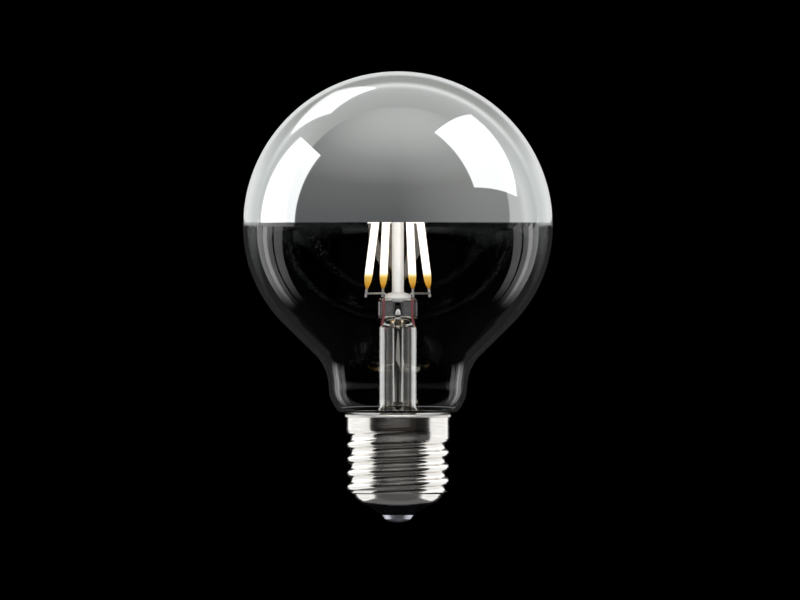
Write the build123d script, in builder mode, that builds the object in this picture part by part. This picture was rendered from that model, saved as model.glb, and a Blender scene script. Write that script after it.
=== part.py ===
"""Crown-mirror globe lamp: LED filaments on a glass stem in an 80 mm envelope, with a 27 mm screw cap.

Millimetres. +Z runs up the lamp's axis from the tip of the centre contact at the origin. The lamp is seen
from -Y, with the press of the stem turned its broad way to the front.
"""

import os
from math import cos, radians, sin

from build123d import *

# Cap
CONTACT_HEIGHT = 1.95
CONTACT_RADIUS = 4.05
CONTACT_FACE_RADIUS = 3.4
CONTACT_FACE_RISE = 0.9
CONTACT_SHANK_RADIUS = 1.2
INSULATOR_RISE = 2.5
INSULATOR_FILL = 2.2
CAP_HEIGHT = 28.0
SHELL_WALL = 0.35
FOOT_STEP = 0.5
MOUTH_STEP = 3.7
FOOT_HEIGHT = 2.95
FOOT_TAPER = 34.0
BAND_STEP = 0.1
BAND_HEIGHT = 4.7
RIM_BEAD = 0.4
THREAD_CREST_RADIUS = 13.15
THREAD_DEPTH = 1.05
THREAD_PITCH = 3.629
THREAD_ROUND = 1.0
THREAD_ROUND_ANGLE = 50.0
THREAD_PHASE = 7.2
RUN_OUT_HEIGHT = 1.4

# Envelope
GLOBE_RADIUS = 40.0
GLASS_WALL = 0.9
LOWER_RADIUS = 35.5
FLANK_ANGLE = 45.0
WAIST_BLEND = 11.0
WAIST_STEP = 5.6
WAIST_HEIGHT = 7.2
SHOULDER_RADIUS = 9.3
SHOULDER_ANGLE = 44.0
SHOULDER_EDGE = 1.3
NECK_BLEND = 0.9
CEMENT_WALL = 0.6
NECK_DEPTH = 3.5
MIRROR_EDGE_RISE = 0.9
MIRROR_FILM = 0.12
MIRROR_CLEARANCE = 0.02

# Stem
STEM_RADIUS = 4.8
STEM_WALL = 1.1
FLARE_RISE = 6.2
FLARE_BEND = 3.4
FLARE_ANGLE = 72.0
STEM_HEIGHT = 22.4
PRESS_WIDTH = 10.3
PRESS_DEPTH = 6.4
PRESS_BLEND = 3.0
PRESS_HEIGHT = 7.6
PRESS_EDGE = 1.0
PRESS_DOME_RADIUS = 2.7
PRESS_DOME_RISE = 1.4
PRESS_SAG = 0.6
EXHAUST_RADIUS = 1.53
EXHAUST_BORE = 0.83
EXHAUST_TIP = 1.9
BLOW_HOLE_RISE = 2.9
ROD_RADIUS = 1.54
ROD_BEAD = 2.0

# Filaments and wires
FILAMENT_RADIUS = 1.0
FILAMENT_TIP_RADIUS = 0.3
FILAMENT_TAPER = 3.6
FILAMENT_RISE = 38.0
FILAMENT_FOOT_RISE = 2.4
FILAMENT_FOOT_RADIUS = 8.9
FILAMENT_FOOT_ANGLE = 25.7
FILAMENT_HEAD_RADIUS = 3.8
FILAMENT_HEAD_ANGLE = 34.5
TAB_LENGTH = 2.2
TAB_WIDTH = 0.6
TAB_THICKNESS = 0.3
TAB_WELD = 1.25
LEAD_OFFSET = 3.2
LEAD_RADIUS = 0.25
SEAL_WIRE_RADIUS = 0.28
SEAL_WIRE_REACH = 0.3
LEAD_BEND = 0.5
CROSS_WIRE_RADIUS = 0.25
TOP_WIRE_RADIUS = 0.22
TOP_WIRE_SEAT = 1.0

# Driver
BOARD_CLEARANCE = 1.0
BOARD_THICKNESS = 1.0
BOARD_HOLE_CLEARANCE = 0.1
PIN_LENGTH = 0.6
CAPACITOR_RADIUS = 4.0
CAPACITOR_HEIGHT = 10.5
CAPACITOR_GROOVE = 0.25
RESISTOR_RADIUS = 1.3
RESISTOR_LENGTH = 6.5
RESISTOR_DROP = 4.0
RESISTOR_LEAD_RADIUS = 0.3
CHIP_OFFSET = 5.6
CHIP_SETBACK = 4.2
CHIP_HEIGHT = 1.5
RECTIFIER_SIZE = (4.7, 3.9)
REGULATOR_SIZE = (4.9, 3.9)
CHIP_RESISTOR_SIZE = (3.2, 1.6)
CHIP_RESISTOR_HEIGHT = 0.6
CHIP_RESISTOR_SPACING = 2.2
CHIP_RESISTOR_COUNT = 2
RETURN_WIRE_INSET = 1.5

# Levels along the axis, from the contact up
mouth_z = CONTACT_HEIGHT + INSULATOR_RISE
fill_z = mouth_z + INSULATOR_FILL
foot_z = mouth_z + FOOT_HEIGHT
band_z = CAP_HEIGHT - BAND_HEIGHT
run_out_z = band_z - RUN_OUT_HEIGHT
neck_z = CAP_HEIGHT - NECK_DEPTH
board_z = neck_z - BOARD_THICKNESS
waist_z = CAP_HEIGHT + WAIST_HEIGHT
flare_z = neck_z + FLARE_RISE
press_z = CAP_HEIGHT + STEM_HEIGHT
press_top_z = press_z + PRESS_HEIGHT
rod_z = press_top_z + PRESS_DOME_RISE
filament_foot_z = press_top_z + FILAMENT_FOOT_RISE
filament_head_z = filament_foot_z + FILAMENT_RISE
cross_wire_z = filament_foot_z - TAB_WELD
top_wire_z = filament_head_z + TAB_WELD

# Radii that follow from the thread's crest
thread_root_radius = THREAD_CREST_RADIUS - THREAD_DEPTH
shell_bore_radius = thread_root_radius - SHELL_WALL
foot_radius = thread_root_radius - FOOT_STEP
mouth_radius = foot_radius - MOUTH_STEP
band_radius = THREAD_CREST_RADIUS + BAND_STEP
neck_radius = band_radius - SHELL_WALL - CEMENT_WALL
waist_radius = neck_radius + WAIST_STEP
board_radius = band_radius - SHELL_WALL - BOARD_CLEARANCE
stem_bore_radius = STEM_RADIUS - STEM_WALL

# The flank is tangent to the globe's lower arc and to the waist, which places the globe's centre
flank = radians(FLANK_ANGLE)
globe_z = waist_z + (
    (GLOBE_RADIUS - LOWER_RADIUS) * cos(flank)
    + LOWER_RADIUS
    + WAIST_BLEND
    - (waist_radius + WAIST_BLEND) * cos(flank)
) / sin(flank)


def envelope(inset):
    """Solid inside the envelope's outline, drawn in from the outer surface by inset."""
    shoulder = radians(SHOULDER_ANGLE)
    shoulder_centre = waist_radius - SHOULDER_RADIUS
    edge_r = shoulder_centre + (SHOULDER_RADIUS - SHOULDER_EDGE) * cos(shoulder)
    edge_z = waist_z - (SHOULDER_RADIUS - SHOULDER_EDGE) * sin(shoulder)
    under_z = edge_z - SHOULDER_EDGE

    crown = (0, globe_z + GLOBE_RADIUS - inset)
    equator = (GLOBE_RADIUS - inset, globe_z)
    flank_top = (
        GLOBE_RADIUS - LOWER_RADIUS + (LOWER_RADIUS - inset) * cos(flank),
        globe_z - (LOWER_RADIUS - inset) * sin(flank),
    )
    flank_end = (
        waist_radius + WAIST_BLEND - (WAIST_BLEND + inset) * cos(flank),
        waist_z + (WAIST_BLEND + inset) * sin(flank),
    )
    waist = (waist_radius - inset, waist_z)
    shoulder_end = (
        shoulder_centre + (SHOULDER_RADIUS - inset) * cos(shoulder),
        waist_z - (SHOULDER_RADIUS - inset) * sin(shoulder),
    )
    underside = (edge_r, under_z + inset)
    neck_top = (neck_radius + NECK_BLEND, under_z + inset)
    neck_side = (neck_radius - inset, under_z - NECK_BLEND)
    neck_end = (neck_radius - inset, neck_z)
    with BuildPart() as body:
        with BuildSketch(Plane.XZ):
            with BuildLine():
                TangentArc(crown, equator, tangent=(1, 0))
                TangentArc(equator, flank_top, tangent=(0, -1))
                Line(flank_top, flank_end)
                TangentArc(flank_end, waist, tangent=(-sin(flank), -cos(flank)))
                TangentArc(waist, shoulder_end, tangent=(0, -1))
                TangentArc(shoulder_end, underside, tangent=(-sin(shoulder), -cos(shoulder)))
                Line(underside, neck_top)
                TangentArc(neck_top, neck_side, tangent=(-1, 0))
                Polyline(neck_side, neck_end, (0, neck_z), crown)
            make_face()
        revolve(axis=Axis.Z)
    return body.part


def round_wire(radius, points, bend=0.0, against=()):
    """Round wire along straight runs between points, bent at corners and cut flush with its welds."""
    with BuildPart() as wire:
        with BuildLine() as path:
            if bend:
                FilletPolyline(*points, radius=bend)
            else:
                Polyline(*points)
        with BuildSketch(Plane(origin=path.line @ 0, z_dir=path.line % 0)):
            Circle(radius)
        sweep()
        for piece in against:
            add(piece, mode=Mode.SUBTRACT)
    return wire.part.solids().sort_by(SortBy.VOLUME)[-1]


# Glass envelope: blown in one piece and sealed to the flare of the stem at its neck
with BuildPart() as glass_bulb:
    add(envelope(0))
    add(envelope(GLASS_WALL), mode=Mode.SUBTRACT)

# Mirror: metal film on the inner face of the crown, masked off level just above the equator
with BuildPart() as mirror_coating:
    film_radius = GLOBE_RADIUS - GLASS_WALL - MIRROR_CLEARANCE
    with BuildSketch(Plane.XZ):
        with Locations((0, globe_z)):
            Circle(film_radius)
            Circle(film_radius - MIRROR_FILM, mode=Mode.SUBTRACT)
        with Locations((0, globe_z + MIRROR_EDGE_RISE)):
            Rectangle(GLOBE_RADIUS, GLOBE_RADIUS, align=(Align.MIN, Align.MIN), mode=Mode.INTERSECT)
    revolve(axis=Axis.Z)


# Filaments: one in each quarter, leaning in from a wide circle of feet to a narrow circle of heads
back_right, back_left, front_left, front_right = quarters = range(4)


def ring_point(radius, angle, quarter, z):
    """Point on a circle round the axis, at an angle within one of its quarters."""
    turn = radians(angle + 90 * quarter)
    return Vector(radius * cos(turn), radius * sin(turn), z)


filament_feet = [
    ring_point(FILAMENT_FOOT_RADIUS, FILAMENT_FOOT_ANGLE, quarter, filament_foot_z) for quarter in quarters
]
filament_heads = [
    ring_point(FILAMENT_HEAD_RADIUS, FILAMENT_HEAD_ANGLE, quarter, filament_head_z) for quarter in quarters
]

filaments = []
lower_tabs = []
upper_tabs = []
lower_welds = []
upper_welds = []
for foot, head, neighbour in zip(filament_feet, filament_heads, reversed(filament_feet)):
    lean = head - foot
    frame = Plane(origin=foot, x_dir=neighbour - foot, z_dir=lean)
    with BuildPart() as filament:
        with BuildSketch(Plane.XZ):
            with BuildLine():
                taper_low = (FILAMENT_RADIUS, FILAMENT_TAPER)
                taper_high = (FILAMENT_RADIUS, lean.length - FILAMENT_TAPER)
                TangentArc(taper_low, (FILAMENT_TIP_RADIUS, 0), tangent=(0, -1))
                Line((FILAMENT_TIP_RADIUS, 0), (0, 0))
                Line((0, 0), (0, lean.length))
                Line((0, lean.length), (FILAMENT_TIP_RADIUS, lean.length))
                TangentArc(taper_high, (FILAMENT_TIP_RADIUS, lean.length), tangent=(0, 1))
                Line(taper_high, taper_low)
            make_face()
        revolve(axis=Axis.Z)
    with BuildPart() as lower_tab:
        Box(TAB_THICKNESS, TAB_WIDTH, TAB_LENGTH, align=(Align.CENTER, Align.CENTER, Align.MAX))
    with BuildPart() as upper_tab:
        with Locations((0, 0, lean.length)):
            Box(TAB_THICKNESS, TAB_WIDTH, TAB_LENGTH, align=(Align.CENTER, Align.CENTER, Align.MIN))
    filaments.append(filament.part.moved(frame.location))
    lower_tabs.append(lower_tab.part.moved(frame.location))
    upper_tabs.append(upper_tab.part.moved(frame.location))
    lower_welds.append(foot - lean * (TAB_WELD / FILAMENT_RISE))
    upper_welds.append(head + lean * (TAB_WELD / FILAMENT_RISE))

# Cross wires: straight bars, each between the lower tabs of the two filaments on its side
cross_wire_ends = {"left": (back_left, front_left), "right": (front_right, back_right)}
cross_wires = {}
for side, (first, second) in cross_wire_ends.items():
    cross_wires[side] = round_wire(
        CROSS_WIRE_RADIUS,
        [lower_welds[first], lower_welds[second]],
        against=[lower_tabs[first], lower_tabs[second]],
    )

# Leads: an inner wire to the cross wire, a copper-clad seal wire in the press, an outer wire to the board
lead_offsets = {"left": -LEAD_OFFSET, "right": LEAD_OFFSET}
inner_leads = {}
seal_wires = {}
outer_leads = {}
for side, x in lead_offsets.items():
    first, second = cross_wire_ends[side]
    bar_middle = (lower_welds[first] + lower_welds[second]) / 2
    seal_low = (x, 0, press_z - SEAL_WIRE_REACH)
    seal_high = (x, 0, press_top_z + SEAL_WIRE_REACH)
    inner_leads[side] = round_wire(
        LEAD_RADIUS,
        [seal_high, (x, 0, cross_wire_z), bar_middle],
        bend=LEAD_BEND,
        against=[cross_wires[side]],
    )
    seal_wires[side] = round_wire(SEAL_WIRE_RADIUS, [seal_low, seal_high])
    outer_leads[side] = round_wire(LEAD_RADIUS, [seal_low, (x, 0, board_z - PIN_LENGTH)])

# Top wires: bent pieces held in the rod's head, each joining two filaments in series
top_wire_ends = {"front": (front_left, front_right), "back": (back_right, back_left)}
top_wire_seats = {"front": -TOP_WIRE_SEAT, "back": TOP_WIRE_SEAT}
top_wires = {}
for side, (first, second) in top_wire_ends.items():
    top_wires[side] = round_wire(
        TOP_WIRE_RADIUS,
        [upper_welds[first], (0, top_wire_seats[side], top_wire_z), upper_welds[second]],
        bend=LEAD_BEND,
        against=[upper_tabs[first], upper_tabs[second]],
    )

# Stem: flared tube whose upper end is pinched round the seal wires, with a blow hole into the lamp
with BuildPart() as stem:
    flare = radians(FLARE_ANGLE)
    flare_end = (
        STEM_RADIUS + FLARE_BEND * (1 - cos(flare)),
        flare_z - FLARE_BEND * sin(flare),
    )
    flare_run = (neck_radius - GLASS_WALL / 2 - flare_end[0]) / sin(flare)
    flare_rim = (flare_end[0] + flare_run * sin(flare), flare_end[1] - flare_run * cos(flare))
    with BuildSketch(Plane.XZ):
        with BuildLine():
            Line((STEM_RADIUS, press_z + PRESS_SAG), (STEM_RADIUS, flare_z))
            TangentArc((STEM_RADIUS, flare_z), flare_end, tangent=(0, -1))
            Line(flare_end, flare_rim)
            offset(amount=STEM_WALL, side=Side.RIGHT)
        make_face()
    revolve(axis=Axis.Z)
    add(glass_bulb.part, mode=Mode.SUBTRACT)
    with BuildSketch(Plane.XY.offset(press_z)):
        Circle(STEM_RADIUS)
    with BuildSketch(Plane.XY.offset(press_z + PRESS_BLEND)):
        Ellipse(PRESS_WIDTH / 2, PRESS_DEPTH / 2)
    loft()
    with BuildSketch(Plane.XY.offset(press_z + PRESS_BLEND)):
        Ellipse(PRESS_WIDTH / 2, PRESS_DEPTH / 2)
    extrude(amount=PRESS_HEIGHT - PRESS_BLEND)
    fillet(stem.faces().sort_by(Axis.Z)[-1].edges(), PRESS_EDGE)
    with BuildSketch(Plane.XZ):
        with BuildLine():
            Polyline((PRESS_DOME_RADIUS, press_top_z), (0, press_top_z), (0, rod_z), (ROD_RADIUS, rod_z))
            TangentArc((ROD_RADIUS, rod_z), (PRESS_DOME_RADIUS, press_top_z), tangent=(0.6, -0.8))
        make_face()
    revolve(axis=Axis.Z)
    with BuildSketch(Plane.XZ):
        with BuildLine():
            Polyline((EXHAUST_RADIUS, press_z), (0, press_z), (0, flare_z), (stem_bore_radius, flare_z))
            Line((stem_bore_radius, flare_z), (stem_bore_radius, press_z + PRESS_SAG))
            TangentArc((EXHAUST_RADIUS, press_z), (stem_bore_radius, press_z + PRESS_SAG), tangent=(1, 0))
        make_face()
    revolve(axis=Axis.Z, mode=Mode.SUBTRACT)
    with BuildSketch(Plane.XY.offset(press_z)):
        Circle(EXHAUST_BORE)
    extrude(amount=BLOW_HOLE_RISE, mode=Mode.SUBTRACT)
    with BuildSketch(Plane.XZ):
        with Locations((0, press_z + BLOW_HOLE_RISE)):
            Circle(EXHAUST_BORE)
    extrude(amount=PRESS_DEPTH, mode=Mode.SUBTRACT)
    for seal_wire in seal_wires.values():
        add(seal_wire, mode=Mode.SUBTRACT)

# Exhaust tube: fused to the press above and melted shut at the tip below
with BuildPart() as exhaust_tube:
    tip_z = neck_z + EXHAUST_TIP
    tip = (EXHAUST_BORE / 2, tip_z)
    tip_side = (EXHAUST_RADIUS, tip_z + 2 * EXHAUST_RADIUS)
    bore_side = (EXHAUST_BORE, tip_z + 3 * EXHAUST_RADIUS)
    bore_end = (0, bore_side[1] - EXHAUST_BORE)
    with BuildSketch(Plane.XZ):
        with BuildLine():
            Polyline(bore_side, (EXHAUST_BORE, press_z), (EXHAUST_RADIUS, press_z), tip_side)
            TangentArc(tip_side, tip, tangent=(0, -1))
            Polyline(tip, (0, tip_z), bore_end)
            TangentArc(bore_side, bore_end, tangent=(0, -1))
        make_face()
    revolve(axis=Axis.Z)

# Support rod: glass cane fused to the dome of the press, with a bead round the top wires
with BuildPart() as support_rod:
    with Locations((0, 0, rod_z)):
        Cylinder(ROD_RADIUS, top_wire_z - rod_z, align=(Align.CENTER, Align.CENTER, Align.MIN))
    with Locations((0, 0, top_wire_z)):
        Sphere(ROD_BEAD)
    for top_wire in top_wires.values():
        add(top_wire, mode=Mode.SUBTRACT)

# Thread: knuckle ridge wound on the shell, cut off at the foot and run out under the plain band
with BuildPart() as thread:
    round_angle = radians(THREAD_ROUND_ANGLE)
    round_r = THREAD_CREST_RADIUS - THREAD_ROUND
    base_r = thread_root_radius - SHELL_WALL / 2
    side_r = round_r + THREAD_ROUND * cos(round_angle)
    side_z = THREAD_ROUND * sin(round_angle)
    base_half = side_z + (side_r - base_r) * cos(round_angle) / sin(round_angle)
    start_z = THREAD_PHASE - THREAD_PITCH
    with BuildLine():
        Helix(THREAD_PITCH, band_z + THREAD_PITCH - start_z, thread_root_radius, center=(0, 0, start_z))
    with BuildSketch(Plane((0, 0, start_z), x_dir=(1, 0, 0), z_dir=(0, -1, 0))):
        with BuildLine():
            ThreePointArc((side_r, side_z), (THREAD_CREST_RADIUS, 0), (side_r, -side_z))
            Polyline((side_r, -side_z), (base_r, -base_half), (base_r, base_half), (side_r, side_z))
        make_face()
    sweep(is_frenet=True)
    run_out_slope = RUN_OUT_HEIGHT / (band_radius - thread_root_radius)
    inner_r = base_r - SHELL_WALL
    outer_r = band_radius + SHELL_WALL
    upper_z = run_out_z + SHELL_WALL / 2
    with BuildSketch(Plane.XZ):
        with BuildLine():
            Polyline(
                (inner_r, foot_z),
                (foot_radius, foot_z),
                (outer_r, foot_z + 2.5 * SHELL_WALL),
                (outer_r, upper_z + (outer_r - thread_root_radius) * run_out_slope),
                (inner_r, upper_z + (inner_r - thread_root_radius) * run_out_slope),
                close=True,
            )
        make_face()
    revolve(axis=Axis.Z, mode=Mode.INTERSECT)

# Cap shell: one drawn and rolled sheet, rim to mouth, with a single right-handed knuckle thread
taper = radians(FOOT_TAPER)
taper_inward = Vector(-cos(taper), sin(taper))
bend_z = fill_z - SHELL_WALL * sin(taper)
foot_bend = Vector(foot_radius - (foot_z - bend_z) * sin(taper) / cos(taper), bend_z)
mouth = Vector(mouth_radius, mouth_z)
with BuildPart() as cap_shell:
    with BuildSketch(Plane.XZ):
        with BuildLine():
            Polyline(
                (band_radius, CAP_HEIGHT - RIM_BEAD),
                (band_radius, band_z),
                (thread_root_radius, run_out_z),
                (thread_root_radius, foot_z + SHELL_WALL),
                (foot_radius, foot_z),
                foot_bend,
            )
            TangentArc(foot_bend, mouth, tangent=(-sin(taper), -cos(taper)))
            offset(amount=SHELL_WALL, side=Side.RIGHT, kind=Kind.INTERSECTION)
        make_face()
    revolve(axis=Axis.Z)
    with BuildSketch(Plane.XZ):
        with Locations((band_radius, CAP_HEIGHT - RIM_BEAD)):
            Circle(RIM_BEAD)
    revolve(axis=Axis.Z)
    add(thread.part)

# Insulator: black glass poured into the shell's mouth round the contact's shank
with BuildPart() as cap_insulator:
    chord = mouth - foot_bend
    mouth_centre = foot_bend + taper_inward * (chord.length**2 / (2 * chord.dot(taper_inward)))
    inner_bend = foot_bend + taper_inward * SHELL_WALL
    inner_mouth = mouth + (mouth_centre - mouth).normalized() * SHELL_WALL
    with BuildSketch(Plane.XZ):
        with BuildLine():
            Polyline(
                inner_mouth,
                mouth,
                (CONTACT_RADIUS, CONTACT_HEIGHT),
                (CONTACT_SHANK_RADIUS, CONTACT_HEIGHT),
                (CONTACT_SHANK_RADIUS, fill_z),
                inner_bend,
            )
            TangentArc(inner_bend, inner_mouth, tangent=(-sin(taper), -cos(taper)))
        make_face()
    revolve(axis=Axis.Z)

# Centre contact: domed pin pressed through the insulator, hollow for the lead of the fusible resistor
with BuildPart() as centre_contact:
    with BuildSketch(Plane.XZ):
        with BuildLine():
            TangentArc((0, 0), (CONTACT_FACE_RADIUS, CONTACT_FACE_RISE), tangent=(1, 0))
            Polyline(
                (CONTACT_FACE_RADIUS, CONTACT_FACE_RISE),
                (CONTACT_RADIUS, CONTACT_HEIGHT),
                (CONTACT_SHANK_RADIUS, CONTACT_HEIGHT),
                (CONTACT_SHANK_RADIUS, fill_z),
                (RESISTOR_LEAD_RADIUS, fill_z),
                (RESISTOR_LEAD_RADIUS, CONTACT_HEIGHT),
                (0, CONTACT_HEIGHT),
                (0, 0),
            )
        make_face()
    revolve(axis=Axis.Z)

# Cement: ring between the neck and the plain band of the shell
with BuildPart() as capping_cement:
    with BuildSketch(Plane.XY.offset(neck_z)):
        Circle(band_radius - SHELL_WALL)
        Circle(neck_radius, mode=Mode.SUBTRACT)
    extrude(amount=NECK_DEPTH - 3 * RIM_BEAD)

# Driver board: disc under the end of the neck, with holes for the leads and the resistor
with BuildPart() as driver_board:
    with BuildSketch(Plane.XY.offset(board_z)):
        Circle(board_radius)
        with Locations(*((x, 0) for x in lead_offsets.values())):
            Circle(LEAD_RADIUS + BOARD_HOLE_CLEARANCE, mode=Mode.SUBTRACT)
        Circle(RESISTOR_LEAD_RADIUS + BOARD_HOLE_CLEARANCE, mode=Mode.SUBTRACT)
    extrude(amount=BOARD_THICKNESS)


def surface_chip(size, height, places):
    """Flat-topped chip, or a row of them, soldered under the board."""
    with BuildPart() as chip:
        with BuildSketch(Plane.XY.offset(board_z)):
            with Locations(*places):
                Rectangle(*size)
        extrude(amount=-height)
    return chip.part


bridge_rectifier = surface_chip(RECTIFIER_SIZE, CHIP_HEIGHT, [(-CHIP_OFFSET, -CHIP_SETBACK)])
current_regulator = surface_chip(REGULATOR_SIZE, CHIP_HEIGHT, [(CHIP_OFFSET, -CHIP_SETBACK)])
chip_resistors = surface_chip(
    CHIP_RESISTOR_SIZE,
    CHIP_RESISTOR_HEIGHT,
    [(0, -CHIP_SETBACK - CHIP_RESISTOR_SPACING * index) for index in range(CHIP_RESISTOR_COUNT)],
)

# Smoothing capacitor: rolled can hanging between the resistor and the shell, beaded in near its seal
with BuildPart() as smoothing_capacitor:
    capacitor_offset = (RESISTOR_RADIUS + shell_bore_radius) / 2
    with BuildSketch(Plane.XY.offset(board_z)):
        with Locations((0, capacitor_offset)):
            Circle(CAPACITOR_RADIUS)
    extrude(amount=-CAPACITOR_HEIGHT)
    fillet(smoothing_capacitor.faces().sort_by(Axis.Z)[0].edges(), CAPACITOR_GROOVE)
    with Locations((0, capacitor_offset, board_z - CAPACITOR_HEIGHT / 6)):
        Torus(CAPACITOR_RADIUS + CAPACITOR_GROOVE, 2 * CAPACITOR_GROOVE, mode=Mode.SUBTRACT)

# Fusible resistor: upright on the axis, one lead through the board and the other in the contact
with BuildPart() as fusible_resistor:
    with Locations((0, 0, board_z - RESISTOR_DROP)):
        Cylinder(RESISTOR_RADIUS, RESISTOR_LENGTH, align=(Align.CENTER, Align.CENTER, Align.MAX))
    fillet(fusible_resistor.edges(), RESISTOR_RADIUS / 3)
    with Locations((0, 0, CONTACT_HEIGHT)):
        Cylinder(
            RESISTOR_LEAD_RADIUS,
            neck_z + PIN_LENGTH - CONTACT_HEIGHT,
            align=(Align.CENTER, Align.CENTER, Align.MIN),
        )

# Return wire: from the board's edge to the inside of the shell
return_wire = round_wire(
    LEAD_RADIUS,
    [
        (RETURN_WIRE_INSET - board_radius, 0, board_z),
        (RETURN_WIRE_INSET - board_radius, 0, board_z - PIN_LENGTH),
        (-band_radius, 0, board_z - PIN_LENGTH),
    ],
    bend=LEAD_RADIUS * 1.5,
    against=[cap_shell.part],
)

nodes = {
    "glass_bulb": glass_bulb.part,
    "mirror_coating": mirror_coating.part,
    "stem": stem.part,
    "exhaust_tube": exhaust_tube.part,
    "support_rod": support_rod.part,
    "cap_shell": cap_shell.part,
    "cap_insulator": cap_insulator.part,
    "centre_contact": centre_contact.part,
    "capping_cement": capping_cement.part,
    "driver_board": driver_board.part,
    "bridge_rectifier": bridge_rectifier,
    "current_regulator": current_regulator,
    "chip_resistors": chip_resistors,
    "smoothing_capacitor": smoothing_capacitor.part,
    "fusible_resistor": fusible_resistor.part,
    "return_wire": return_wire,
}
for side in lead_offsets:
    nodes[f"inner_lead_{side}"] = inner_leads[side]
    nodes[f"seal_wire_{side}"] = seal_wires[side]
    nodes[f"outer_lead_{side}"] = outer_leads[side]
    nodes[f"cross_wire_{side}"] = cross_wires[side]
for side, top_wire in top_wires.items():
    nodes[f"top_wire_{side}"] = top_wire
for quarter in quarters:
    nodes[f"filament_{quarter + 1}"] = filaments[quarter]
    nodes[f"filament_tab_lower_{quarter + 1}"] = lower_tabs[quarter]
    nodes[f"filament_tab_upper_{quarter + 1}"] = upper_tabs[quarter]

os.makedirs("parts", exist_ok=True)
for name, part in nodes.items():
    part.label = name
    export_step(part, f"parts/{name}.step")
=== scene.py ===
"""Looks, studio and camera for the crown-mirror LED filament lamp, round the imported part's frame."""

from math import acos, asin, atan2, cos, degrees, pi, radians, sin, sqrt

import bmesh
import bpy
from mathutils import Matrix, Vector


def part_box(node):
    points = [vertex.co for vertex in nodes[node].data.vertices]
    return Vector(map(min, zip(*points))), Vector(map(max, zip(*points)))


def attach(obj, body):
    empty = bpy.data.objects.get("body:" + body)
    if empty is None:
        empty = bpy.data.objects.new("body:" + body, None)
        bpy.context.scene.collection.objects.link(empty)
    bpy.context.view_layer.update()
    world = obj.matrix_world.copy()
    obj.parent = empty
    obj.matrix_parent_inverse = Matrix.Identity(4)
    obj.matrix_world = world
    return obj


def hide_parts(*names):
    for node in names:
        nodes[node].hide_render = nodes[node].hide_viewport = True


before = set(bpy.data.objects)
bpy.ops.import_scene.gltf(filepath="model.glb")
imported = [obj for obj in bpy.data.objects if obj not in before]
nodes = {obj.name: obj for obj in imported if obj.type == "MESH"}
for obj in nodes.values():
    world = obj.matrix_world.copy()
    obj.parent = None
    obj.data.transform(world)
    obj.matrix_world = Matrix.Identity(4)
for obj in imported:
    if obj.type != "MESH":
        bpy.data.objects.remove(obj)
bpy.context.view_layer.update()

# Glass mount
# The stem and the exhaust tube are drawn lead-glass tube, melted together on a stem machine. The stem's top is
# pinched flat round the lead wires, and a puff of air opens the blow hole through the press.
MM = 0.001


def linear(code):
    """Linear colour of an sRGB hex value."""
    parts = [int(code[place : place + 2], 16) / 255 for place in (1, 3, 5)]
    return (*(part / 12.92 if part <= 0.04045 else ((part + 0.055) / 1.055) ** 2.4 for part in parts), 1.0)


def add_node(material, kind, inputs=None, stops=None, **settings):
    """Add a node to a material, light or world, with its settings, its ramp's stops, and its inputs set or linked."""
    node = material.node_tree.nodes.new(kind)
    for name, value in settings.items():
        setattr(node, name, value)
    if stops:
        ramp = node.color_ramp.elements
        while len(ramp) < len(stops):
            ramp.new(1.0)
        for element, (position, colour) in zip(ramp, stops):
            element.position = position
            element.color = colour
    for name, value in (inputs or {}).items():
        if isinstance(value, bpy.types.NodeSocket):
            material.node_tree.links.new(value, node.inputs[name])
        else:
            node.inputs[name].default_value = value
    return node


def new_material(name):
    """Empty node material."""
    material = bpy.data.materials.new(name)
    material.use_nodes = True
    material.node_tree.nodes.clear()
    return material


def arc(centre, radius, start, end, count=24):
    """Points of an arc in the plane of a turned outline, from one angle in degrees to another."""
    turns = [radians(start + (end - start) * step / count) for step in range(count + 1)]
    return [(centre[0] + radius * cos(turn), centre[1] + radius * sin(turn)) for turn in turns]


def in_scene(name, mesh, material):
    """Turn a finished mesh into an object of the scene, with its finish."""
    data = bpy.data.meshes.new(name)
    mesh.to_mesh(data)
    mesh.free()
    data.materials.append(material)
    piece = bpy.data.objects.new(name, data)
    bpy.context.scene.collection.objects.link(piece)
    return piece


def turned(name, outline, material, loop=False, segments=128, swell=None):
    """Piece swept round the axis from (radius, height) or (half width, half depth, height) points in mm.

    A loop joins the outline's ends. swell gives a round point's radius from its radius, height and turn.
    """
    crease_angle = radians(30)
    mesh = bmesh.new()
    rings = []
    for *radii, height in outline:
        ring = []
        for step in range(segments if radii[0] else 1):
            turn = step / segments
            width, depth = radii[0], radii[-1]
            if swell:
                width = depth = swell(radii[0], height, turn)
            point = (width * cos(2 * pi * turn), depth * sin(2 * pi * turn), height)
            ring.append(mesh.verts.new(Vector(point) * MM))
        rings.append(ring)
    for first, second in zip(rings, rings[1:] + rings[:1] if loop else rings[1:]):
        for step in range(segments):
            corners = [
                first[step % len(first)],
                first[(step + 1) % len(first)],
                second[(step + 1) % len(second)],
                second[step % len(second)],
            ]
            mesh.faces.new(list(dict.fromkeys(corners)))
    bmesh.ops.recalc_face_normals(mesh, faces=mesh.faces)
    for face in mesh.faces:
        face.smooth = True
    piece = in_scene(name, mesh, material)
    piece.data.set_sharp_from_angle(angle=crease_angle)
    return piece


def carve(piece, cutter):
    """Cut one mesh piece out of another for good."""
    cut = piece.modifiers.new("cut", "BOOLEAN")
    cut.object = cutter
    cut.solver = "EXACT"
    carved = bpy.data.meshes.new_from_object(piece.evaluated_get(bpy.context.evaluated_depsgraph_get()))
    piece.modifiers.clear()
    carved.name = piece.data.name
    piece.data = carved
    bpy.data.objects.remove(cutter)


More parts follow.
